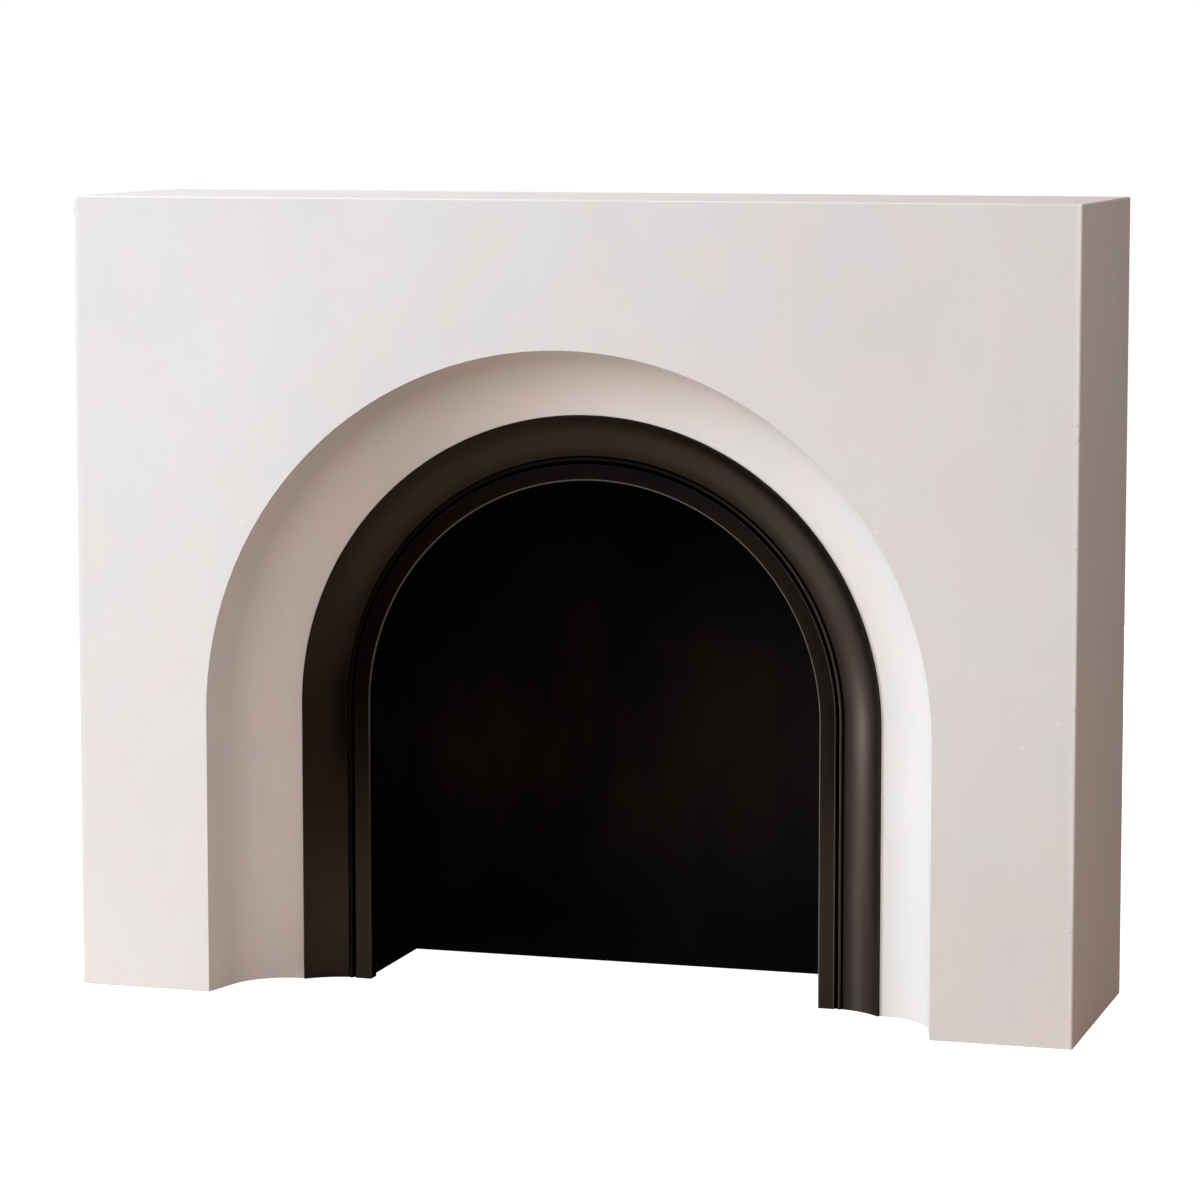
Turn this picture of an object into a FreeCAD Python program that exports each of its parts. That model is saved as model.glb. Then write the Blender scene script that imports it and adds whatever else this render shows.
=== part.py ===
import FreeCAD, Part
import math
import os
from FreeCAD import Vector

# Arched fireplace surround, in millimetres: X to the right, Y to the back, Z up, with the origin on the floor in
# the middle of the plan. Limewashed boards on a timber frame carry a cast cove, a cast iron arch insert and a
# sheet steel firebox. A depth, called d, counts from the front face to the back, and a radius, called r, from the
# middle of the arch, or from the middle plane below the springing line.

# Outer block
width = 1400.0
height = 1100.0
depth = 360.0
jamb_width = 190.0  # flat front on either side of the arch
crown_cover = 200.0  # flat front above the top of the arch
board = 22.0  # front, side and top boards
edge_ease = 2.5  # rounding of the block's outer edges

# Cast cove between the front board and the insert
cove_width = 95.0
cove_depth = 120.0
cove_splay_angle = 14.0  # degrees, of the straight part that leads from the front arris into the hollow
cove_wall = 18.0
cove_flange_width = 50.0
cove_flange = 12.0
tongue_length = 40.0
tongue_width = 14.0
tongue_thickness = 4.0

# Timber frame and bulkhead
timber = 45.0
tenon_length = 12.0
tenon_thickness = 15.0
tenon_shoulder = 8.0
bulkhead_board = 18.0
cleat = 25.0
notch_gap = 1.0
joint_gap = 0.3

# Cast iron insert, from its outer rim to its mouth
insert_gap = 1.0  # between the cove and the rim
insert_proud = 2.5  # the rim stands this far in front of the cove's inner edge
rim_land = 11.0
casting_wall = 7.0
gasket = 3.0
cavetto_width = 49.0
cavetto_depth = 30.0
bead_width = 7.5
bead_height = 3.0
bead_crest = 3.0
groove_width = 2.5
fillet_width = 21.0
fillet_lift = 2.5
fillet_thickness = 8.5
mouth_bevel = 2.0
lip_wall = 6.0
lip_length = 12.0

# Sheet steel firebox
sheet = 2.5
lip_gap = 1.0
liner_lap = 30.0
back_plate = 2.0

# Forked straps and bolts that draw the casting and the firebox on to the bulkhead
bolt_radius = 4.0
bolt_depth = 5.0
bolt_head_flats = 13.0
bolt_head_height = 5.5
strap_thickness = 5.0
strap_width = 25.0
strap_reach = 25.0  # on to the bulkhead
straps_on_leg = 1
straps_on_arch = 3
hole_gap = 0.3

# Spring clips that hold the back plate to the firebox
clip_sheet = 1.0
clip_width = 20.0
clip_grip = 12.0
clips_on_leg = 2
clips_on_arch = 3
back_gap = 0.5  # between the clips and the wall

# Keyhole plates let into the rear top rail
keyhole_spacing = 900.0
keyhole_plate_width = 60.0
keyhole_plate_height = 36.0
keyhole_plate_thickness = 2.5
keyhole_entry_radius = 5.5
keyhole_slot_radius = 2.7
keyhole_rise = 12.0
keyhole_pocket_depth = 14.0
keyhole_pocket_margin = 3.0

# Arch
arch_radius = width / 2 - jamb_width
springing = height - crown_cover - arch_radius
cove_inner = arch_radius - cove_width
flange_outer = arch_radius + cove_flange_width
splay = math.radians(cove_splay_angle)
cove_radius = (cove_width * math.cos(splay) - cove_depth * math.sin(splay)) / (1 - math.sin(splay))
cove_centre = cove_depth - cove_radius

# Planes of the frame
half_width = width / 2
frame_outer = half_width - board
frame_inner = frame_outer - timber
frame_top = height - board
frame_low = frame_top - timber
bulkhead_front = cove_depth + cove_wall
bulkhead_back = bulkhead_front + bulkhead_board

# Radii and depths of the insert
rim_outer = cove_inner - insert_gap
rim_inner = rim_outer - rim_land
rim_face = cove_depth - insert_proud
rim_back = bulkhead_front - gasket
toe = rim_inner - cavetto_width
toe_depth = rim_face + cavetto_depth
bead_inner = toe - bead_width
bead_middle = (toe + bead_inner) / 2
bead_top = toe_depth - bead_height
fillet_outer = bead_inner - groove_width
fillet_face = toe_depth - fillet_lift
mouth = fillet_outer - fillet_width
casting_back = fillet_face + fillet_thickness
lip_back = casting_back + lip_length

# Radii and depths of the firebox
liner_inner = mouth + lip_wall + lip_gap
liner_outer = liner_inner + sheet
vault_outer = liner_outer + sheet
liner_flange = toe
fixing_ring = (vault_outer + liner_flange) / 2
plate_back = depth - clip_sheet - back_gap
plate_front = plate_back - back_plate

diagonal = math.sqrt(0.5)  # sine and cosine of 45 degrees
touch = 1e-6
beyond = 5.0  # how far a cutting tool runs past the face that it cuts


def at(r, d, z=springing):
    """Point at a radius and a depth, level with the springing line unless told otherwise."""
    return Vector(r, d - depth / 2, z)


def block(x_span, d_span, z_span):
    """Box between two values of X, of depth and of Z."""
    sizes = [abs(high - low) for low, high in (x_span, d_span, z_span)]
    return Part.makeBox(*sizes, at(min(x_span), min(d_span), min(z_span)))


def polygon(points):
    """Flat face with straight sides."""
    return Part.Face(Part.makePolygon(points + points[:1]))


def arc(r0, d0, radius, start, end):
    """Part of a circle in a section: start point, end point and edge. Angles go from r towards d."""
    centre = at(r0, d0)
    circle = Part.Circle(centre, Vector(0, 0, 1), radius)
    low, high = sorted((math.radians(start), math.radians(end)))
    ends = [circle.value(math.radians(angle)) for angle in (start, end)]
    return ends[0], ends[1], Part.ArcOfCircle(circle, low, high).toShape()


def section(*steps):
    """Face from corners (r, d) and arcs in order round its outline, with straight lines wherever two are apart."""
    spans = [step if len(step) == 3 else (at(*step), at(*step), None) for step in steps]
    edges = []
    for (_, end, edge), (start, _, _) in zip(spans, spans[1:] + spans[:1]):
        if edge:
            edges.append(edge)
        if end.distanceToPoint(start) > touch:
            edges.append(Part.makeLine(end, start))
    return Part.Face(Part.Wire(edges))


def hollow_radii(radial, axial):
    """Radii of a quarter hollow that is struck from two centres and changes from one to the other at 45 degrees."""
    spread = 2 * diagonal - 1
    first = (axial * diagonal - radial * (1 - diagonal)) / spread
    second = (radial * diagonal - axial * (1 - diagonal)) / spread
    return first, second


def hollow(r0, d0, radial, axial):
    """The two arcs of such a hollow, from (r0 + radial, d0), where it runs straight back, to (r0, d0 + axial)."""
    first, second = hollow_radii(radial, axial)
    return arc(r0 + radial - first, d0, first, 0, 45), arc(r0, d0 + axial - second, second, 45, 90)


def behind_arc(r0, d0, radius, wall):
    """Sum of r and d on the back of a wall behind an arc, where that back slopes at 45 degrees."""
    return r0 + d0 + (radius + wall) / diagonal


def mirrored(shape):
    """The same shape on the left side."""
    return shape.mirror(Vector(0, 0, 0), Vector(1, 0, 0))


def over_arch(face):
    """Carries a section over the arch, from the right springing point to the left one."""
    return face.revolve(at(0, 0), Vector(0, -1, 0), 180)


def down_leg(face, length):
    """Carries a section straight down from the right springing point."""
    return face.extrude(Vector(0, 0, -length))


def round_opening(face, leg_length):
    """One piece that follows a section down the left leg, over the arch and down the right leg."""
    leg = down_leg(face, leg_length)
    return over_arch(face).fuse([leg, mirrored(leg)]).removeSplitter()


def along_d(r, d, length, radius):
    """Cylinder that runs to the back from a point on the springing line."""
    return Part.makeCylinder(radius, length, at(r, d), Vector(0, 1, 0))


def hexagon(r, d, flats, length):
    """Hexagonal prism that runs to the back from a point on the springing line."""
    corner = flats / math.sqrt(3)
    turns = [math.radians(60 * side) for side in range(6)]
    corners = [at(r + corner * math.cos(turn), d, springing + corner * math.sin(turn)) for turn in turns]
    return polygon(corners).extrude(Vector(0, length, 0))


def fixing_places(on_leg, on_arch):
    """Angle over the arch and height of each of a row of fixings round the opening."""
    places = []
    for step in range(on_leg):
        level = springing * (step + 0.5) / on_leg
        places += [(0, level), (180, level)]
    return places + [(180 * (step + 1) / (on_arch + 1), springing) for step in range(on_arch)]


def repeated(shape, places):
    """Copies of a shape that was made at the right springing point, one at each place round the opening."""
    copies = []
    for angle, level in places:
        copy = shape.copy()
        copy.rotate(at(0, 0), Vector(0, 1, 0), -angle)
        copy.translate(Vector(0, 0, level - springing))
        copies.append(copy)
    return copies


def grown(spans, gap):
    """Spans of a block that leaves a gap on every side."""
    return [(min(span) - gap, max(span) + gap) for span in spans]


def is_outer_edge(edge):
    """True for the edges that two of the front, the sides and the top share."""
    middle = edge.CenterOfMass
    on_side = abs(abs(middle.x) - half_width) < touch
    on_front = abs(middle.y + depth / 2) < touch
    on_top = abs(middle.z - height) < touch
    return on_side + on_front + on_top == 2


def plan(points):
    """Upright prism from (x, d) corners."""
    return polygon([at(x, d, 0) for x, d in points]).extrude(Vector(0, 0, height))


def elevation(points):
    """Prism through the whole depth from (x, z) corners."""
    return polygon([at(x, 0, z) for x, z in points]).extrude(Vector(0, depth, 0))


def profile(points):
    """Prism across the whole width from (d, z) corners."""
    return polygon([at(-half_width, d, z) for d, z in points]).extrude(Vector(width, 0, 0))


parts = {}

# Outer boards: slices of one eased block, mitred where they meet, so that every seam lies on an edge
whole_block = block((-half_width, half_width), (0, depth), (0, height))
eased_block = whole_block.makeFillet(edge_ease, [edge for edge in whole_block.Edges if is_outer_edge(edge)])
front_plan = plan([(-half_width, 0), (half_width, 0), (frame_outer, board), (-frame_outer, board)])
front_profile = profile([(0, 0), (board, 0), (board, frame_top), (0, height)])
side_plan = plan([(half_width, 0), (half_width, depth), (frame_outer, depth), (frame_outer, board)])
side_elevation = elevation([(half_width, 0), (half_width, height), (frame_outer, frame_top), (frame_outer, 0)])
top_elevation = elevation(
    [(-half_width, height), (half_width, height), (frame_outer, frame_top), (-frame_outer, frame_top)]
)
top_profile = profile([(0, height), (depth, height), (depth, frame_top), (board, frame_top)])

reveal = section(
    (0, -beyond),
    (arch_radius, -beyond),
    (arch_radius, 0),
    arc(cove_inner, cove_centre, cove_radius, cove_splay_angle, 90),
    (0, cove_depth),
)
reveal_leg = down_leg(reveal, springing + beyond)
front_panel = eased_block.common(front_plan).common(front_profile)
side_panel = eased_block.common(side_plan).common(side_elevation)
parts["front_panel"] = front_panel.cut([over_arch(reveal), reveal_leg, mirrored(reveal_leg)])
parts["left_side_panel"] = mirrored(side_panel)
parts["right_side_panel"] = side_panel
parts["top_panel"] = eased_block.common(top_elevation).common(top_profile)

# Cast cove: two legs and an arch on loose tongues, with a flange behind the front board and a foot on the bulkhead
cove_slope = behind_arc(cove_inner, cove_centre, cove_radius, cove_wall)
cove_outer = arch_radius + cove_wall
cove_foot = cove_slope - bulkhead_front
cove_flange_back = board + cove_flange
cove_blank = section(
    (cove_inner, board),
    (cove_inner, bulkhead_front),
    (cove_foot, bulkhead_front),
    (cove_outer, cove_slope - cove_outer),
    (cove_outer, cove_flange_back),
    (flange_outer, cove_flange_back),
    (flange_outer, board),
)
cove = cove_blank.cut(reveal).Faces[0]
cove_leg = down_leg(cove, springing)
tongue_places = [
    ((cove_inner + cove_foot) / 2, bulkhead_front - cove_wall / 2),
    ((cove_outer + flange_outer) / 2, board + cove_flange / 2),
]
tongues = []
tongue_slots = []
for r, d in tongue_places:
    tongue_spans = [
        (r - tongue_width / 2, r + tongue_width / 2),
        (d - tongue_thickness / 2, d + tongue_thickness / 2),
        (springing - tongue_length / 2, springing + tongue_length / 2),
    ]
    tongue = block(*tongue_spans)
    tongue_slot = block(*grown(tongue_spans, joint_gap))
    tongues += [tongue, mirrored(tongue)]
    tongue_slots += [tongue_slot, mirrored(tongue_slot)]
parts["cove_arch"] = over_arch(cove).cut(tongue_slots)
parts["cove_left_leg"] = mirrored(cove_leg).cut(tongue_slots)
parts["cove_right_leg"] = cove_leg.cut(tongue_slots)
parts["cove_tongues"] = Part.makeCompound(tongues)

# Timber frame: four posts, with rails between them on stub tenons
front_span = (board, board + timber)
rear_span = (depth - timber, depth)
between_span = (front_span[1], rear_span[0])
across_span = (-frame_inner, frame_inner)
top_span = (frame_low, frame_top)
floor_span = (0, timber)
along_x, along_depth = range(2)  # which of a rail's spans its tenons lengthen
tenons = []


def tenon(spans, axis, end):
    """Spans of the stub tenon on one end of a rail."""
    middle = sum(spans[1 - axis]) / 2
    sides = [None, None, (spans[2][0] + tenon_shoulder, spans[2][1] - tenon_shoulder)]
    sides[1 - axis] = (middle - tenon_thickness / 2, middle + tenon_thickness / 2)
    sides[axis] = (end, end + math.copysign(tenon_length, end - sum(spans[axis]) / 2))
    return sides


def rail(spans, axis):
    """Rail with a tenon on each end, whose spans are kept for the mortises."""
    ends = [tenon(spans, axis, end) for end in spans[axis]]
    tenons.extend(ends)
    return block(*spans).fuse([block(*end_spans) for end_spans in ends]).removeSplitter()


bulkhead_notches = []
for side, sign in (("left", -1), ("right", 1)):
    side_span = (sign * frame_inner, sign * frame_outer)
    for level, z_span in (("bottom", floor_span), ("top", top_span)):
        rail_spans = (side_span, between_span, z_span)
        parts[f"{side}_{level}_rail"] = rail(rail_spans, along_depth)
        bulkhead_notches.append(block(*grown(rail_spans, notch_gap)))
parts["front_top_rail"] = rail((across_span, front_span, top_span), along_x)
rear_top_rail = rail((across_span, rear_span, top_span), along_x)
mortises = [block(*grown(spans, joint_gap)) for spans in tenons]
for side, sign in (("left", -1), ("right", 1)):
    side_span = (sign * frame_inner, sign * frame_outer)
    for place, d_span in (("front", front_span), ("rear", rear_span)):
        parts[f"{side}_{place}_post"] = block(side_span, d_span, (0, frame_top)).cut(mortises)

# Keyhole plates: let in flush with the back of the rear top rail, over pockets for the heads of two wall screws
keyhole_level = (frame_low + frame_top) / 2
entry_level = keyhole_level - keyhole_rise / 2
slot_level = keyhole_level + keyhole_rise / 2
plate_seat = depth - keyhole_plate_thickness
through_plate = (plate_seat - beyond, depth + beyond)
tool_length = through_plate[1] - through_plate[0]
keyhole_plate_spans = [
    (-keyhole_plate_width / 2, keyhole_plate_width / 2),
    (plate_seat, depth),
    (keyhole_level - keyhole_plate_height / 2, keyhole_level + keyhole_plate_height / 2),
]
keyhole_plate = block(*keyhole_plate_spans).cut(
    [
        along_d(0, through_plate[0], tool_length, keyhole_entry_radius).translated(
            Vector(0, 0, entry_level - springing)
        ),
        along_d(0, through_plate[0], tool_length, keyhole_slot_radius).translated(
            Vector(0, 0, slot_level - springing)
        ),
        block((-keyhole_slot_radius, keyhole_slot_radius), through_plate, (entry_level, slot_level)),
    ]
)
pocket_half = keyhole_entry_radius + keyhole_pocket_margin
pocket_x, _, pocket_z = grown(keyhole_plate_spans, joint_gap)
pockets = [
    block(pocket_x, (plate_seat, depth + beyond), pocket_z),
    block(
        (-pocket_half, pocket_half),
        (depth - keyhole_pocket_depth, depth),
        (entry_level - pocket_half, slot_level + pocket_half),
    ),
]
keyhole_offsets = [Vector(sign * keyhole_spacing / 2, 0, 0) for sign in (-1, 1)]
parts["rear_top_rail"] = rear_top_rail.cut(
    [pocket.translated(offset) for offset in keyhole_offsets for pocket in pockets]
)
parts["keyhole_plates"] = Part.makeCompound([keyhole_plate.translated(offset) for offset in keyhole_offsets])

# Cast iron insert: flat rim, cavetto, bead and flat fillet, with a return lip that enters the firebox
cavetto_radius = hollow_radii(cavetto_width, cavetto_depth)[0]
casting_slope = behind_arc(rim_inner - cavetto_radius, rim_face, cavetto_radius, casting_wall)
bearing_inner = casting_slope - rim_back
bulkhead_hole = bearing_inner + insert_gap
casting = section(
    (rim_outer, rim_back),
    (rim_outer, rim_face),
    *hollow(toe, rim_face, cavetto_width, cavetto_depth),
    (bead_middle + bead_crest / 2, bead_top),
    (bead_middle - bead_crest / 2, bead_top),
    (bead_inner, toe_depth),
    (fillet_outer, fillet_face),
    (mouth + mouth_bevel, fillet_face),
    (mouth, fillet_face + mouth_bevel),
    (mouth, lip_back),
    (mouth + lip_wall, lip_back),
    (mouth + lip_wall, casting_back),
    (casting_slope - casting_back, casting_back),
    (bearing_inner, rim_back),
)
tape = section(
    (bulkhead_hole, rim_back),
    (rim_outer, rim_back),
    (rim_outer, bulkhead_front),
    (bulkhead_hole, bulkhead_front),
)
strap_places = fixing_places(straps_on_leg, straps_on_arch)
bolt_front = casting_back - bolt_depth
bolt_hole = along_d(fixing_ring, bolt_front, bolt_depth + beyond, bolt_radius + hole_gap)
parts["insert_frame"] = round_opening(casting, springing).cut(repeated(bolt_hole, strap_places))
parts["insert_gasket"] = round_opening(tape, springing)

# Bulkhead: a plywood board behind the cove, notched round the side rails and glued to three cleats
hole = section(
    (0, bulkhead_front - beyond),
    (bulkhead_hole, bulkhead_front - beyond),
    (bulkhead_hole, bulkhead_back + beyond),
    (0, bulkhead_back + beyond),
)
hole_leg = down_leg(hole, springing + beyond)
bulkhead = block((-frame_outer, frame_outer), (bulkhead_front, bulkhead_back), (0, frame_top))
cleat_span = (bulkhead_back, bulkhead_back + cleat)
side_cleat = block(
    (frame_outer - cleat, frame_outer), cleat_span, (timber + notch_gap, frame_low - notch_gap)
)
parts["bulkhead"] = bulkhead.cut([over_arch(hole), hole_leg, mirrored(hole_leg)] + bulkhead_notches)
parts["left_bulkhead_cleat"] = mirrored(side_cleat)
parts["right_bulkhead_cleat"] = side_cleat
parts["top_bulkhead_cleat"] = block(
    (notch_gap - frame_inner, frame_inner - notch_gap), cleat_span, (frame_top - cleat, frame_top)
)

# Firebox: two cheeks and a vault of sheet steel, flanged at both ends, with the vault lapped outside the cheeks


def liner_section(inner):
    """Wall with an outward flange at the casting and another at the back plate."""
    outer = inner + sheet
    return section(
        (inner, casting_back),
        (liner_flange, casting_back),
        (liner_flange, casting_back + sheet),
        (outer, casting_back + sheet),
        (outer, plate_front - sheet),
        (liner_flange, plate_front - sheet),
        (liner_flange, plate_front),
        (inner, plate_front),
    )


bolt_notch = block(
    (fixing_ring - bolt_radius - hole_gap, liner_flange + beyond),
    (casting_back - beyond, casting_back + sheet + beyond),
    (springing - bolt_radius - hole_gap, springing + bolt_radius + hole_gap),
)
bolt_notches = repeated(bolt_notch, strap_places)
lap_clearance = block(
    (liner_outer, liner_flange + beyond), (0, depth), (springing - liner_lap - joint_gap, springing + beyond)
)
cheek = down_leg(liner_section(liner_inner), springing).cut(lap_clearance)
plate = section((0, plate_front), (liner_flange, plate_front), (liner_flange, plate_back), (0, plate_back))
clip_inner = liner_flange + joint_gap
clip_front = plate_front - sheet
clip = section(
    (liner_flange - clip_grip, clip_front - clip_sheet),
    (clip_inner + clip_sheet, clip_front - clip_sheet),
    (clip_inner + clip_sheet, plate_back + clip_sheet),
    (liner_flange - clip_grip, plate_back + clip_sheet),
    (liner_flange - clip_grip, plate_back),
    (clip_inner, plate_back),
    (clip_inner, clip_front),
    (liner_flange - clip_grip, clip_front),
)
clip = clip.extrude(Vector(0, 0, clip_width)).translated(Vector(0, 0, -clip_width / 2))
parts["left_cheek"] = mirrored(cheek).cut(bolt_notches)
parts["right_cheek"] = cheek.cut(bolt_notches)
parts["vault"] = round_opening(liner_section(liner_outer), liner_lap).cut(bolt_notches)
parts["firebox_back"] = round_opening(plate, springing)
parts["back_clips"] = Part.makeCompound(repeated(clip, fixing_places(clips_on_leg, clips_on_arch)))

# Clamps: each forked strap bridges from the firebox flange to the bulkhead, under a bolt in the casting
strap_back = bulkhead_back + strap_thickness
strap_inner = vault_outer + joint_gap
fork_half = bolt_radius + hole_gap
strap = block(
    (strap_inner, bulkhead_hole + strap_reach),
    (bulkhead_back, strap_back),
    (springing - strap_width / 2, springing + strap_width / 2),
)
fork = block(
    (strap_inner - beyond, fixing_ring + fork_half),
    (bulkhead_back - beyond, strap_back + beyond),
    (springing - fork_half, springing + fork_half),
)
bolt = hexagon(fixing_ring, strap_back, bolt_head_flats, bolt_head_height).fuse(
    along_d(fixing_ring, bolt_front, strap_back - bolt_front, bolt_radius)
)
parts["insert_straps"] = Part.makeCompound(repeated(strap.cut(fork), strap_places))
parts["insert_bolts"] = Part.makeCompound(repeated(bolt, strap_places))

os.makedirs("parts", exist_ok=True)
for name, shape in parts.items():
    shape.exportStep(f"parts/{name}.step")
print(len(parts), "nodes,", sum(len(shape.Solids) for shape in parts.values()), "solids")
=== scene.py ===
import math

import bmesh
import bpy
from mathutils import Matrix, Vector


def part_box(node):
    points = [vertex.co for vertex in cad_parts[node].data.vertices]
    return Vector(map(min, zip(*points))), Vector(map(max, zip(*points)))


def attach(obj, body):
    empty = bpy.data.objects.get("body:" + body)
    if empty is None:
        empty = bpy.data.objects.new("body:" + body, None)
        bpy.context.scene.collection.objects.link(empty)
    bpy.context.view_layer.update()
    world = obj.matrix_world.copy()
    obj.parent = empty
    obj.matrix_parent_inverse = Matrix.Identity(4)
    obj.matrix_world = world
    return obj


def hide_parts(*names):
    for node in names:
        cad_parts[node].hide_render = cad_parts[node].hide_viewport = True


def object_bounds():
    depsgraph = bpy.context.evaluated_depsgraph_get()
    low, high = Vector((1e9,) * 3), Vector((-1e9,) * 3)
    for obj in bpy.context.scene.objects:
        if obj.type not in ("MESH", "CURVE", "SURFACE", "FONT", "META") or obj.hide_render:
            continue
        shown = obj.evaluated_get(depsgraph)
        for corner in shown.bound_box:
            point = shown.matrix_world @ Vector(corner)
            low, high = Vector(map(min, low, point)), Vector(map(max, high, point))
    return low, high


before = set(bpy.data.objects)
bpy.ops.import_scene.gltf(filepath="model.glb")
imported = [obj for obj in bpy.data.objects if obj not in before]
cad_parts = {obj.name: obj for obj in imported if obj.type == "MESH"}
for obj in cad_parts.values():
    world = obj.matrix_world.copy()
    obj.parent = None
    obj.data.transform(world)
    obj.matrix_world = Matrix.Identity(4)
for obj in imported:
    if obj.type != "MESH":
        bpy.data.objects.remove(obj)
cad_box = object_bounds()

# Timber frame: four planed softwood posts with rails between them on stub tenons, all glued. The boards are
# glued to its outer faces, so that it shows only from behind and from below.
pale_wood = (0.60, 0.40, 0.21, 1)
yellow_wood = (0.68, 0.49, 0.28, 1)
late_wood = (0.42, 0.22, 0.09, 1)
dark_fibre = (0.33, 0.18, 0.08, 1)
ring_folds = 60.0  # radians across the noise, which fold it into rings
fibre_height, ring_height = 0.00006, 0.00005


class Socket:
    """A shader socket. Sums with it add Math nodes, and its node method adds any other node."""

    def __init__(self, socket):
        self.socket = socket

    def node(self, kind, settings, inputs, output=0):
        made = self.socket.id_data.nodes.new("ShaderNode" + kind)
        for name, value in settings.items():
            setattr(made, name, value)
        feed(made, inputs)
        return Socket(made.outputs[output])

    def maths(self, operation, *others):
        return self.node("Math", {"operation": operation}, dict(enumerate((self, *others))))

    def swapped(self, operation, other):
        return self.node("Math", {"operation": operation}, {0: other, 1: self})

    def __add__(self, other):
        return self.maths("ADD", other)

    def __sub__(self, other):
        return self.maths("SUBTRACT", other)

    def __rsub__(self, other):
        return self.swapped("SUBTRACT", other)

    def __mul__(self, other):
        return self.maths("MULTIPLY", other)

    def __abs__(self):
        return self.maths("ABSOLUTE")

    __radd__ = __add__
    __rmul__ = __mul__

    def most(self, other):
        return self.maths("MAXIMUM", other)

    def least(self, other):
        return self.maths("MINIMUM", other)

    def rise(self, low, high):
        """0 below low and 1 above high, with a soft step between them."""
        ends = {"Value": self, "From Min": low, "From Max": high}
        return self.node("MapRange", {"interpolation_type": "SMOOTHSTEP"}, ends)

    def fall(self, low, high):
        """1 below low and 0 above high, with a soft step between them."""
        return 1.0 - self.rise(low, high)

    def band(self, start, full, fade, end):
        """0 up to start, 1 from full to fade, and 0 from end on."""
        return self.rise(start, full) * self.fall(fade, end)

    def colours(self, first, second):
        """First colour where the value is 0, second where it is 1."""
        return self.node("Mix", {"data_type": "RGBA"}, {0: self, 6: first, 7: second}, 2)


def feed(node, inputs):
    """Fills a node's inputs with values or links them to sockets."""
    for key, value in inputs.items():
        if isinstance(value, Socket):
            node.id_data.links.new(value.socket, node.inputs[key])
        else:
            node.inputs[key].default_value = value


def new_finish(name):
    """A material, its main shader, and the place on the object in metres that its patterns follow."""
    material = bpy.data.materials.new(name)
    material.use_nodes = True
    shader = material.node_tree.nodes["Principled BSDF"]
    place = material.node_tree.nodes.new("ShaderNodeTexCoord")
    return material, shader, Socket(place.outputs["Object"])


def grain(place, per_metre, detail=4.0, roughness=0.55):
    """Noise with its own count of grains per metre along X, Y and Z."""
    spot = place.node("VectorMath", {"operation": "MULTIPLY"}, {0: place, 1: per_metre})
    inputs = {"Vector": spot, "Scale": 1.0, "Detail": detail, "Roughness": roughness}
    return place.node("TexNoise", {}, inputs)


def relief(height, strength=1.0):
    """Surface normal from a height in metres."""
    return height.node("Bump", {}, {"Height": height, "Strength": strength, "Distance": 1.0})


def dress(material, *nodes):
    """Gives carried-over pieces their finish."""
    for node in nodes:
        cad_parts[node].material_slots[0].material = material


def softwood(name, along):
    """Planed softwood whose grain runs along X, Y or Z."""
    material, shader, place = new_finish(name)
    fibres = [220.0, 220.0, 220.0]
    fibres[along] = 9.0
    rings = [11.0, 11.0, 11.0]
    rings[along] = 0.7
    growth = (grain(place, rings, 2.0) * ring_folds).maths("SINE") * 0.5 + 0.5
    late = growth.rise(0.45, 0.98)
    fibre = grain(place, fibres)
    tint = grain(place, (1.6, 1.6, 1.6))
    wood = tint.rise(0.35, 0.65).colours(pale_wood, yellow_wood)
    wood = (late * 0.65).colours(wood, late_wood)
    wood = (fibre.rise(0.35, 0.75) * 0.22).colours(wood, dark_fibre)
    height = fibre * fibre_height + late * ring_height
    feed(shader, {"Base Color": wood, "Roughness": 0.55 + fibre * 0.2, "Normal": relief(height)})
    return material


along_x, along_y, along_z = range(3)
upright_softwood = softwood("upright_softwood", along_z)
cross_softwood = softwood("cross_softwood", along_x)
deep_softwood = softwood("deep_softwood", along_y)
dress(upright_softwood, "left_front_post", "right_front_post", "left_rear_post", "right_rear_post")
dress(cross_softwood, "front_top_rail", "rear_top_rail")
dress(deep_softwood, "left_bottom_rail", "right_bottom_rail", "left_top_rail", "right_top_rail")

# Front, side and top boards: wood fibre board, mitred and glued at the outer edges, filled, sanded and
# limewashed by brush on the faces that show. Their backs and rear edges stay raw, with a little wash run
# round the edge.
half_width, half_depth, block_height = cad_box[1]
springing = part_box("cove_right_leg")[1].z
reveal_edge = 0.5108  # just outside the arris of the opening
wash_run = (0.0022, 0.0040)  # each such pair says where a change begins and ends
reveal_run = (0.0, 0.0004)
arris_wear_and_highlight = (0.0008, 0.0032)
upright_wear_and_highlight = (0.0030, 0.0110)
upright_reach = (0.0, 0.6)  # down from the top
top_arris = (0.004, 0.008)
front_skin = (0.0005, 0.001)
knocks = ((0.677, 0.430), (0.630, 0.396), (-0.456, 0.656), (0.434, 0.672))  # across and up
knock_reach = 1 / 140
wash_thickness, stroke_height, patch_height, chip_depth = 0.0002, 0.00005, 0.00030, 0.0008
raw_fibre_height = 0.00008
wash_light = (0.83, 0.815, 0.80, 1)
wash_deep = (0.795, 0.775, 0.76, 1)
wash_rose = (0.86, 0.775, 0.76, 1)
wash_green = (0.78, 0.797, 0.785, 1)
wash_dull = (0.73, 0.695, 0.68, 1)
wash_stroke = (0.90, 0.885, 0.87, 1)
chalk_and_highlight = (0.95, 0.93, 0.915, 1)
chipped_filler = (0.60, 0.54, 0.49, 1)
raw_dark = (0.30, 0.19, 0.11, 1)
raw_light = (0.44, 0.30, 0.18, 1)


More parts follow.
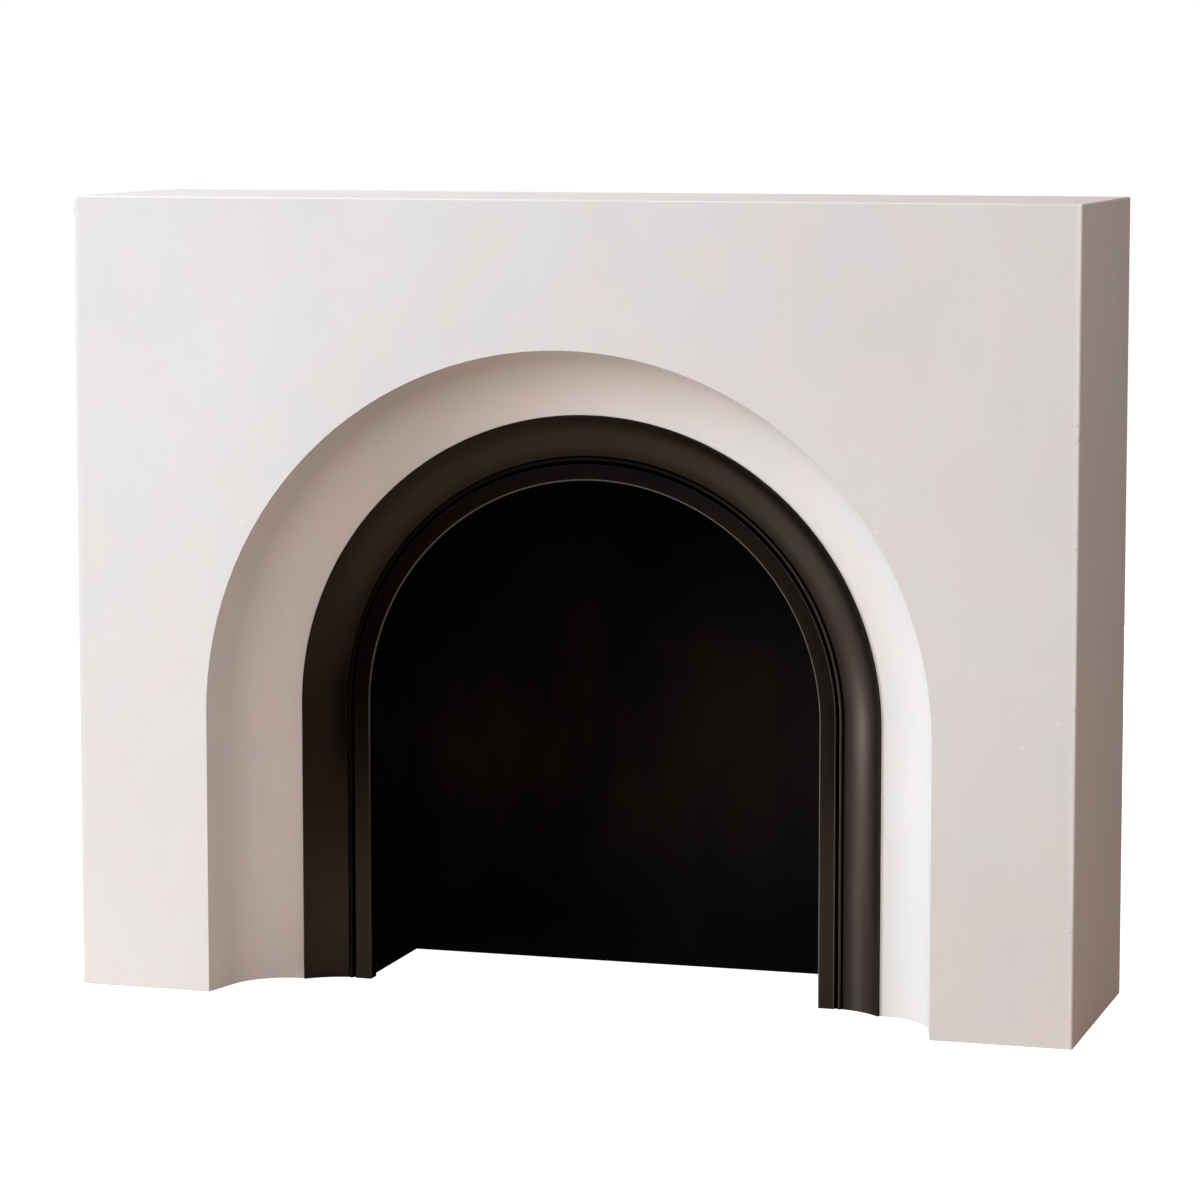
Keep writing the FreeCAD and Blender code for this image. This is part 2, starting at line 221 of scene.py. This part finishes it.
def limewash(place, wear_and_highlight):
    """Colour, roughness and height of brushed limewash, chipped and lightened where its mask of wear and
    painted highlight is high.
    """
    clouds = grain(place, (2.4, 2.4, 2.4), 5.0, 0.5)
    tints = grain(place, (12.0, 12.0, 10.0), 3.0, 0.5)
    patches = grain(place, (11.0, 11.0, 9.0), 6.0, 0.6)
    strokes = grain(place, (170.0, 170.0, 6.0), 3.0)
    chips = grain(place, (95.0, 95.0, 95.0), 3.0).rise(0.66, 0.71) * wear_and_highlight
    colour = clouds.rise(0.36, 0.66).colours(wash_light, wash_deep)
    colour = (tints.rise(0.40, 0.62) * 0.45).colours(colour, wash_rose)
    colour = ((1.0 - tints).rise(0.46, 0.64) * 0.35).colours(colour, wash_green)
    colour = (patches.rise(0.45, 0.75) * 0.16).colours(colour, wash_dull)
    colour = (strokes.rise(0.5, 0.8) * 0.10).colours(colour, wash_stroke)
    colour = (wear_and_highlight * (0.1 + patches * 0.8)).colours(colour, chalk_and_highlight)
    colour = (chips * 0.5).colours(colour, chipped_filler)
    roughness = 0.72 + patches * 0.2
    height = strokes * stroke_height + patches * patch_height - chips * chip_depth
    return colour, roughness, height


def axes_of(place):
    """X, Y and Z of a place."""
    return [place.node("SeparateXYZ", {}, {0: place}, axis) for axis in "XYZ"]


def radius_of(x, z):
    """Distance from the middle of the arch, or from the middle plane below the springing line."""
    above = (z - springing).most(0.0)
    return (x * x + above * above).maths("SQRT")


board_finish, shader, place = new_finish("limewashed_board")
x, y, z = axes_of(place)
from_side = half_width - abs(x)
from_front = y + half_depth
from_top = block_height - z
nearer = from_side.least(from_front)
farther = from_side.most(from_front)
nearest_face = nearer.least(from_top)
to_arris = nearer.most(farther.least(from_top))  # the second nearest face
to_reveal = radius_of(x, z) - reveal_edge
on_front = from_front.fall(*front_skin)
washed = nearest_face.fall(*wash_run).most(to_reveal.fall(*reveal_run))
# The light lines on the arrises, strongest down the front uprights and faint along the top, are partly wear
# and partly a painted highlight on the eased edges; the knocks are chips.
wear_and_highlight = to_arris.fall(*arris_wear_and_highlight) * (0.10 + from_top.rise(*top_arris) * 0.90)
wear_and_highlight = wear_and_highlight.most(from_side.fall(*upright_wear_and_highlight) * on_front * (0.5 + from_top.fall(*upright_reach) * 0.7))
ragged = grain(place, (160.0, 160.0, 160.0), 4.0)
for across, up in knocks:
    apart = ((x - across) * (x - across) + (z - up) * (z - up)).maths("SQRT")
    knocked = (apart * (1 / knock_reach) + ragged * 0.9).fall(0.70, 0.95)
    wear_and_highlight = wear_and_highlight.most(knocked * on_front)
wash, wash_roughness, wash_height = limewash(place, wear_and_highlight)
fibres = grain(place, (900.0, 900.0, 900.0), 3.0)
raw_board = fibres.rise(0.3, 0.7).colours(raw_dark, raw_light)
raw = 1.0 - washed
board_height = washed * (wash_height + wash_thickness) + raw * fibres * raw_fibre_height
board_roughness = washed * wash_roughness + raw * 0.85
feed(shader, {"Base Color": washed.colours(raw_board, wash), "Roughness": board_roughness})
feed(shader, {"Normal": relief(board_height), "Specular IOR Level": 0.3})
dress(board_finish, "front_panel", "left_side_panel", "right_side_panel", "top_panel")

# Cove: cast stone in two legs and an arch, set on loose tongues and limewashed with the front. It leaves the
# front arris as a straight splay and turns through one hollow to face the room beside the insert.
board_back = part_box("front_panel")[1].y
cove_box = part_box("cove_right_leg")
cove_inner, flange_outer = cove_box[0].x, cove_box[1].x
bulkhead_front = cove_box[1].y
arch_radius = 0.510
cove_depth = 0.120
cove_splay = math.radians(14.0)
cove_wall = 0.018
cove_flange = 0.012
arch_steps = 128
hollow_steps = 32


def arc(r, d, radius, start, end, steps):
    """Points (r, d) on a circle, by angles in degrees from r towards d."""
    turns = [math.radians(start + (end - start) * step / steps) for step in range(steps + 1)]
    return [(r + radius * math.cos(turn), d + radius * math.sin(turn)) for turn in turns]


def round_opening(outline):
    """Corners and faces of a closed (r, d) outline carried up one leg, over the arch and down the other leg.
    r counts from the middle of the arch and d from the front face."""
    stations = [(1.0, 0.0, 0.0)]
    for step in range(arch_steps + 1):
        turn = math.pi * step / arch_steps
        stations.append((math.cos(turn), math.sin(turn), springing))
    stations.append((-1.0, 0.0, 0.0))
    corners = [(r * out, d - half_depth, base + r * up) for out, up, base in stations for r, d in outline]
    count = len(outline)
    faces = [tuple(range(count)), tuple(range(len(corners) - count, len(corners)))]
    for ring in range(len(stations) - 1):
        for side in range(count):
            here, there = ring * count + side, ring * count + (side + 1) % count
            faces.append((here, there, there + count, here + count))
    return corners, faces


def new_piece(name, corners, faces, material, slot, smooth_below=30.0):
    """Closed mesh that rides on the body, smooth but for its sharp edges."""
    shape = bmesh.new()
    made = [shape.verts.new(corner) for corner in corners]
    for face in faces:
        shape.faces.new([made[index] for index in face])
    bmesh.ops.recalc_face_normals(shape, faces=shape.faces)
    mesh = bpy.data.meshes.new(name)
    shape.to_mesh(mesh)
    shape.free()
    mesh.materials.append(material)
    mesh.shade_smooth()
    mesh.set_sharp_from_angle(angle=math.radians(smooth_below))
    piece = bpy.data.objects.new(name, mesh)
    bpy.context.scene.collection.objects.link(piece)
    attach(piece, "root")
    return piece


board = board_back + half_depth
cove_back = bulkhead_front + half_depth
cove_width = arch_radius - cove_inner
lean = math.sin(cove_splay)
hollow = (cove_width * math.cos(cove_splay) - cove_depth * lean) / (1 - lean)
slope = cove_inner + cove_depth - hollow + (hollow + cove_wall) * math.sqrt(2)
cove_outline = [
    (arch_radius - board * math.tan(cove_splay), board),
    *arc(cove_inner, cove_depth - hollow, hollow, math.degrees(cove_splay), 90.0, hollow_steps),
    (cove_inner, cove_back),
    (slope - cove_back, cove_back),
    (arch_radius + cove_wall, slope - arch_radius - cove_wall),
    (arch_radius + cove_wall, board + cove_flange),
    (flange_outer, board + cove_flange),
    (flange_outer, board),
]
cove_finish, shader, place = new_finish("limewashed_casting")
wash, wash_roughness, wash_height = limewash(place, 0.0)
feed(shader, {"Base Color": wash, "Roughness": wash_roughness, "Normal": relief(wash_height)})
feed(shader, {"Specular IOR Level": 0.3})
cove = new_piece("cove", *round_opening(cove_outline), cove_finish, "limewashed_casting")
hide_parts("cove_arch", "cove_left_leg", "cove_right_leg")
dress(upright_softwood, "cove_tongues")

# Bulkhead and its cleats: one sheet of sanded birch plywood behind the cove, glued to softwood cleats on the
# sides and under the top.
ply = 0.0020
veneer_fibre_height = 0.00006
veneer_pale = (0.66, 0.50, 0.32, 1)
veneer_brown = (0.55, 0.38, 0.21, 1)
veneer_fibre = (0.43, 0.28, 0.15, 1)
ply_pale = (0.62, 0.46, 0.28, 1)
ply_dark = (0.36, 0.22, 0.11, 1)
wave_folds = 40.0  # radians across the noise, as for the rings
bulkhead_finish, shader, place = new_finish("bulkhead_plywood")
x, y, z = axes_of(place)
facing = place.node("SeparateXYZ", {}, {0: place.node("TexCoord", {}, {}, "Normal")}, "Y")
on_face = abs(facing).rise(0.5, 0.8)
waves = (grain(place, (1.1, 4.0, 9.0), 3.0) * wave_folds).maths("SINE") * 0.5 + 0.5
fibre = grain(place, (8.0, 300.0, 260.0))
face = (waves.rise(0.3, 1.0) * 0.5).colours(veneer_pale, veneer_brown)
face = (fibre.rise(0.4, 0.8) * 0.3).colours(face, veneer_fibre)
stripe = (y * (math.pi / ply)).maths("SINE").rise(-0.2, 0.2)
edge = stripe.colours(ply_pale, ply_dark)
feed(shader, {"Base Color": on_face.colours(edge, face), "Roughness": 0.55 + fibre * 0.2})
feed(shader, {"Normal": relief(fibre * veneer_fibre_height)})
dress(bulkhead_finish, "bulkhead")
dress(upright_softwood, "left_bulkhead_cleat", "right_bulkhead_cleat")
dress(cross_softwood, "top_bulkhead_cleat")

# Insert: one iron casting with a narrow rim, a wide cavetto, a bead, a groove and a flat fillet, rubbed with
# brown-black stove polish and bedded on fibre tape. Its lighter and black patches are placed to match the
# tones in the photograph. The lighter patches and the bright arris lines are painted highlights and painted
# reflections, with some wear along the mouth; the black ones are painted shade and a painted dark
# reflection.
insert_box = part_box("insert_frame")
rim_outer = insert_box[1].x
rim_face = insert_box[0].y + half_depth
lip_back = insert_box[1].y + half_depth
rim_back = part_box("insert_gasket")[0].y + half_depth
rim_land = 0.002
cavetto_width, cavetto_depth = 0.0565, 0.0296
cavetto_turn_in, cavetto_turn_back = 0.0235, 0.0234  # from the rim to where the two end tangents cross
cavetto_steps = 20
back_splay = 0.0048  # from the rim's outer corner out to the sloping back
bead_width, bead_height = 0.005, 0.003
bead_steps = 14
groove_width, groove_depth = 0.0045, 0.0009
fillet_width, fillet_lift, fillet_thickness = 0.023, 0.003, 0.0094
lip_wall = 0.006
fine_ease, mouth_ease = 0.0010, 0.0020


def eased(outline, steps=5):
    """Outline whose corners with a third value are rounded to that radius."""
    points = []
    for before, corner, after in zip(outline[-1:] + outline[:-1], outline, outline[1:] + outline[:1]):
        if len(corner) == 2:
            points.append(corner)
            continue
        here = Vector(corner[:2])
        arms = [(Vector(end[:2]) - here).normalized() for end in (before, after)]
        half = arms[0].angle(arms[1]) / 2
        centre = here + (arms[0] + arms[1]).normalized() * corner[2] / math.sin(half)
        first, last = [here + arm * corner[2] / math.tan(half) - centre for arm in arms]
        turned = [first.lerp(last, step / steps).normalized() for step in range(steps + 1)]
        points += [tuple(centre + spoke * corner[2]) for spoke in turned]
    return points


rim_inner = rim_outer - rim_land
toe = rim_inner - cavetto_width
toe_depth = rim_face + cavetto_depth
cavetto = []
for step in range(1, cavetto_steps + 1):
    gone = step / cavetto_steps
    to_go = 1 - gone
    inwards = 2 * gone * to_go * cavetto_turn_in + gone ** 2 * cavetto_width
    backwards = 2 * gone * to_go * cavetto_turn_back + gone ** 2 * cavetto_depth
    cavetto.append((rim_inner - inwards, rim_face + backwards))
bead_inner = toe - bead_width
bead_middle = toe - bead_width / 2
bead_radius = (bead_width ** 2 / 4 + bead_height ** 2) / (2 * bead_height)
bead_start = -math.degrees(math.asin(1 - bead_height / bead_radius))
bead_centre = toe_depth + bead_radius - bead_height
groove_floor = toe_depth + groove_depth
fillet_outer = bead_inner - groove_width
fillet_face = toe_depth - fillet_lift
mouth = fillet_outer - fillet_width
casting_back = fillet_face + fillet_thickness
casting_slope = rim_outer + rim_face + back_splay
insert_outline = eased(
    [
        (rim_outer, rim_back),
        (rim_outer, rim_face, fine_ease),
        (rim_inner, rim_face, fine_ease),
        *cavetto,
        *arc(bead_middle, bead_centre, bead_radius, bead_start, -180.0 - bead_start, bead_steps)[1:],
        (bead_inner, groove_floor),
        (fillet_outer, groove_floor),
        (fillet_outer, fillet_face, fine_ease),
        (mouth, fillet_face, mouth_ease),
        (mouth, lip_back, fine_ease),
        (mouth + lip_wall, lip_back, fine_ease),
        (mouth + lip_wall, casting_back),
        (casting_slope - casting_back, casting_back),
        (casting_slope - rim_back, rim_back),
    ]
)
polish_black = (0.0036, 0.0023, 0.0018, 1)
polish_brown = (0.0054, 0.0034, 0.0027, 1)
polish_rubbed = (0.012, 0.0095, 0.0080, 1)
# Next three: a painted highlight on the polish, wear and painted glints on the arrises, and painted shade.
painted_highlight_polish = (0.028, 0.0225, 0.0185, 1)
bare_iron_and_glint = (0.110, 0.105, 0.099, 1)
painted_shade_black = (0.0010, 0.0008, 0.0007, 1)
polish_sheen = (1.0, 0.86, 0.79, 1)
sand_height, casting_wave = 0.00003, 0.0003
# Reaches and ranges of the painted glints, painted highlights and painted shade on the insert, and of the
# wear along the mouth.
mouth_line_reach, fillet_line_reach, bead_line_reach = 0.0028, 0.0022, 0.0016
groove_shade_reach, toe_shade_reach = 0.0050, 0.0024
mouth_skin, mouth_shade_depth = (0.0002, 0.0010), (0.002, 0.005)
fillet_band = (0.0015, 0.0030, fillet_width - 0.0015, fillet_width - 0.0005)  # out from the mouth
arch_strip = (0.004, 0.020, 0.034, 0.050)  # out from the toe of the cavetto, as the next two are
leg_strip = (0.010, 0.022, 0.024, 0.036)
shade_strip = (-0.001, 0.0, 0.005, 0.030)
right_side, left_side, far_left = (0.05, 0.30), (-0.10, 0.0), (-0.30, -0.10)  # across from the middle
glintless_foot, highlight_foot, highlight_leg = (0.15, 0.50), (0.08, 0.26), (0.12, 0.36)  # up from the floor
highlight_arch, highlight_fillet, shade_rise = (0.47, 0.64), (0.10, 0.45), (0.20, 0.42)
shade_band = (0.26, 0.36, 0.40, 0.48)
insert_finish, shader, place = new_finish("stove_polished_iron")
x, y, z = axes_of(place)
radius = radius_of(x, z)
clouds = grain(place, (5.0, 5.0, 5.0), 5.0)
sand = grain(place, (700.0, 700.0, 700.0), 3.0)
rubbed = grain(place, (60.0, 60.0, 14.0), 5.0)


def on_arris(r, d, reach):
    """1 on the edge at a radius and a depth, 0 beyond its reach."""
    aside = radius - r
    behind = y + (half_depth - d)
    return (aside * aside + behind * behind).maths("SQRT").fall(reach * 0.4, reach)


crown = z.rise(springing, springing + mouth)
right = x.rise(*right_side)
left = x.fall(*left_side)
from_toe = radius - toe
from_mouth = radius - mouth
behind_fillet = y + (half_depth - fillet_face)
on_fillet = from_mouth.band(*fillet_band)
touched = 0.35 + rubbed * 0.8
# Bright lines on the arrises: wear along the mouth with a painted glint on it, and painted glints on the
# fillet and the bead of the right leg, where light from the left would catch them.
mouth_wear_and_glint = on_arris(mouth, fillet_face, mouth_line_reach) * (touched + crown * 0.4)
mouth_wear_and_glint = mouth_wear_and_glint * (1.0 - left * z.fall(*glintless_foot) * 0.8)
painted_fillet_glint = on_arris(fillet_outer, fillet_face, fillet_line_reach) * touched * right * (1.0 - crown * 0.7)
painted_bead_glint = on_arris(bead_middle, toe_depth - bead_height, bead_line_reach) * rubbed * right * 0.5
wear_and_highlight = mouth_wear_and_glint.most(painted_fillet_glint).most(painted_bead_glint)
# Painted highlights and painted reflections: lighter polish at the left foot, along the arch, down the right
# leg's cavetto and on the right fillet.
painted_highlight = left * z.fall(*highlight_foot) * 0.7
painted_highlight = painted_highlight.most(from_toe.band(*arch_strip) * z.rise(*highlight_arch) * (0.55 + right * 0.45))
painted_highlight = painted_highlight.most(from_toe.band(*leg_strip) * z.fall(*highlight_leg) * right * 0.9)
painted_highlight = painted_highlight.most(on_fillet * right * (0.55 - z.rise(*highlight_fillet) * 0.3))
# Painted shade in the groove, at the toe, round the bead on the left, inside the mouth and up the fillet,
# and a painted dark reflection on the left springing.
painted_shade = on_arris((bead_inner + fillet_outer) / 2, groove_floor, groove_shade_reach)
painted_shade = painted_shade.most(on_arris(toe, toe_depth, toe_shade_reach))
painted_shade = painted_shade.most(on_arris(bead_middle, toe_depth, groove_shade_reach) * (1.0 - right) * 0.8)
painted_shade = painted_shade.most(from_mouth.fall(*mouth_skin) * behind_fillet.rise(*mouth_shade_depth))
painted_shade = painted_shade.most(on_fillet * z.rise(*shade_rise) * (0.75 - right * 0.25))
painted_shade = painted_shade.most(from_toe.band(*shade_strip) * z.band(*shade_band) * x.fall(*far_left) * 0.6)
polish = clouds.rise(0.35, 0.65).colours(polish_black, polish_brown)
polish = (rubbed.rise(0.55, 0.8) * 0.3).colours(polish, polish_rubbed)
polish = painted_highlight.colours(polish, painted_highlight_polish)
polish = wear_and_highlight.colours(polish, bare_iron_and_glint)
polish = painted_shade.colours(polish, painted_shade_black)
polish_roughness = 0.23 + rubbed * 0.08 + sand * 0.05 + painted_shade * 0.4
feed(shader, {"Base Color": polish, "Metallic": painted_shade, "Roughness": polish_roughness})
feed(shader, {"Normal": relief(sand * sand_height + clouds * casting_wave), "Specular Tint": polish_sheen})
insert = new_piece("insert", *round_opening(insert_outline), insert_finish, "insert_iron", smooth_below=24.0)
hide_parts("insert_frame")
tape_grey = (0.42, 0.40, 0.36, 1)
tape_pale = (0.66, 0.64, 0.59, 1)
weave_pitch, weave_height = 1 / 2400, 0.0002
tape_finish, shader, place = new_finish("gasket_tape")
weave = grain(place, (5.0, 5.0, 5.0)) * 6.0 + axes_of(place)[along_z] * (1 / weave_pitch)
weave = weave.maths("SINE") * 0.5 + 0.5
feed(shader, {"Base Color": weave.colours(tape_grey, tape_pale), "Roughness": 0.95})
feed(shader, {"Normal": relief(weave * weave_height)})
dress(tape_finish, "insert_gasket")

# Firebox: two cheeks, a vault and a back plate of sheet steel, flanged and lapped, sprayed with matt black
# heat-proof paint inside and out. A lighter brown haze lies on the paint in a band above the floor, most of
# it at the right.
paint_black = (0.0016, 0.0015, 0.0014, 1)
paint_brown = (0.0034, 0.0028, 0.0024, 1)
haze_brown = (0.0130, 0.0100, 0.0082, 1)
haze_band = (0.05, 0.30, 0.34, 0.60)  # up from the floor
haze_side = (0.05, 0.32)
spray_height = 0.00003
firebox_finish, shader, place = new_finish("heatproof_black")
x, y, z = axes_of(place)
soot = grain(place, (6.0, 6.0, 4.0), 6.0)
spray = grain(place, (1300.0, 1300.0, 1300.0), 2.0)
haze = z.band(*haze_band) * (0.15 + soot.rise(0.35, 0.65) * 0.35 + x.rise(*haze_side) * 0.5)
black = soot.rise(0.35, 0.7).colours(paint_black, paint_brown)
black = haze.colours(black, haze_brown)
feed(shader, {"Base Color": black, "Roughness": 0.72 + soot * 0.2, "Normal": relief(spray * spray_height)})
feed(shader, {"Specular IOR Level": 0.06})
dress(firebox_finish, "left_cheek", "right_cheek", "vault", "firebox_back")

# Fittings: forked straps, hexagon bolts, spring clips and keyhole plates of zinc-plated steel. Straps and
# bolts clamp the casting, clips hold the back plate, and the keyhole plates hang the surround on a wall.
zinc_grey = (0.50, 0.50, 0.51, 1)
zinc_bright = (0.63, 0.63, 0.64, 1)
zinc_dull = (0.36, 0.35, 0.33, 1)
flakes_per_metre = 260.0
zinc_finish, shader, place = new_finish("zinc_plate")
flakes = place.node("TexVoronoi", {}, {"Vector": place, "Scale": flakes_per_metre}, "Color")
flake = place.node("SeparateColor", {}, {"Color": flakes})
dulled = grain(place, (90.0, 90.0, 90.0), 5.0)
zinc = flake.colours(zinc_grey, zinc_bright)
zinc = (dulled.rise(0.5, 0.8) * 0.5).colours(zinc, zinc_dull)
feed(shader, {"Base Color": zinc, "Roughness": 0.30 + dulled * 0.25, "Metallic": 1.0})
dress(zinc_finish, "insert_straps", "insert_bolts", "back_clips", "keyhole_plates")

# Floor: a plain pale ground that runs out of sight, as bright as the backdrop, so that no horizon shows. The
# light that the part gets back from below comes from a dull warm ground just under it, which the camera
# doesn't see.
backdrop_glow = 1.0
floor_reach, floor_level = 60.0, -0.0003
warm_reach, warm_level = 1.8, -0.0006
floor_grey = (0.5, 0.5, 0.5, 1)
warm_earth = (0.46, 0.325, 0.215, 1)


def ground(name, reach, level):
    """Flat sheet under the part and the shader of its finish."""
    sides = ((-1, -1), (1, -1), (1, 1), (-1, 1))
    mesh = bpy.data.meshes.new(name)
    mesh.from_pydata([(x * reach, y * reach, level) for x, y in sides], [], [(0, 1, 2, 3)])
    finish, shader, place = new_finish(name)
    mesh.materials.append(finish)
    sheet = bpy.data.objects.new(name, mesh)
    bpy.context.scene.collection.objects.link(sheet)
    sheet.visible_shadow = False
    return sheet, shader


pale_floor, shader = ground("pale_floor", floor_reach, floor_level)
feed(shader, {"Base Color": floor_grey, "Roughness": 0.9, "Specular IOR Level": 0.0})
feed(shader, {"Emission Color": (1, 1, 1, 1), "Emission Strength": backdrop_glow})
pale_floor.visible_diffuse = False
pale_floor.visible_glossy = False
warm_ground, shader = ground("warm_ground", warm_reach, warm_level)
feed(shader, {"Base Color": warm_earth, "Roughness": 1.0, "Specular IOR Level": 0.0})
warm_ground.visible_camera = False

# Light: two soft boxes at the left, a wide dim panel in front and a small one overhead, with two that keep
# the right side and the back from going black. A flag keeps the higher left one off the left side board.
light_target = Vector((0.0, -0.1, 0.5))
warm_white = (1.0, 0.90, 0.875)
cool_white = (0.54, 0.82, 1.0)
dim_room = (0.010, 0.008, 0.007, 1)
white_backdrop = (backdrop_glow, backdrop_glow, backdrop_glow, 1)


def soft_box(name, azimuth, elevation, away, size, watts, colour):
    """Area light that looks at the middle of the part from a compass point, 0 being straight in front."""
    lamp = bpy.data.lights.new(name, "AREA")
    lamp.shape = "RECTANGLE"
    lamp.size, lamp.size_y = size
    lamp.energy = watts
    lamp.color = colour
    turn, lift = math.radians(azimuth), math.radians(elevation)
    flat = math.cos(lift)
    way = Vector((math.sin(turn) * flat, -math.cos(turn) * flat, math.sin(lift)))
    light = bpy.data.objects.new(name, lamp)
    light.location = light_target + way * away
    light.rotation_euler = (-way).to_track_quat("-Z", "Y").to_euler()
    bpy.context.scene.collection.objects.link(light)
    return light


soft_box("low_left", -63.0, -1.0, away=5.6, size=(1.5, 3.6), watts=184.0, colour=(1.0, 0.95, 0.945))
high_left = soft_box("high_left", -60.0, 26.0, away=5.6, size=(2.25, 2.25), watts=167.0, colour=cool_white)
flagged = bpy.data.collections.new("flagged_from_high_left")
flagged.objects.link(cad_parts["left_side_panel"])
high_left.light_linking.receiver_collection = flagged
flagged.collection_objects[0].light_linking.link_state = "EXCLUDE"
soft_box("overhead", -90.0, 62.0, away=3.2, size=(1.8, 1.8), watts=54.0, colour=warm_white)
wide_front = soft_box("wide_front", 14.0, 16.0, away=4.0, size=(5.0, 2.4), watts=72.5, colour=warm_white)
wide_front.visible_glossy = False
soft_box("right", 80.0, 45.0, away=4.0, size=(2.2, 2.2), watts=37.0, colour=(1.0, 0.84, 0.80))
soft_box("rear", 190.0, 8.0, away=4.0, size=(2.2, 2.2), watts=60.0, colour=(1.0, 0.98, 0.96))
world = bpy.data.worlds.new("room")
bpy.context.scene.world = world
world.use_nodes = True
backdrop = world.node_tree.nodes["Background"]
straight = Socket(world.node_tree.nodes.new("ShaderNodeLightPath").outputs["Is Camera Ray"])
feed(backdrop, {"Color": straight.colours(dim_room, white_backdrop)})
bpy.context.scene.view_settings.view_transform = "Standard"

# Camera: a long lens in front of the block, to its right and a little above its top, turned to the left and
# dipped. A small shift takes part of the dip, so that the uprights lean less.
camera_turn, camera_dip = 0.2941, 0.1095
camera_lens = bpy.data.cameras.new("camera")
camera_lens.lens = 125.55
camera_lens.shift_y = -0.05
camera = bpy.data.objects.new("camera", camera_lens)
camera.location = (1.6625, -5.4813, 1.2576)
camera.rotation_euler = (math.pi / 2 - camera_dip, 0.0, camera_turn)
bpy.context.scene.collection.objects.link(camera)
bpy.context.scene.camera = camera
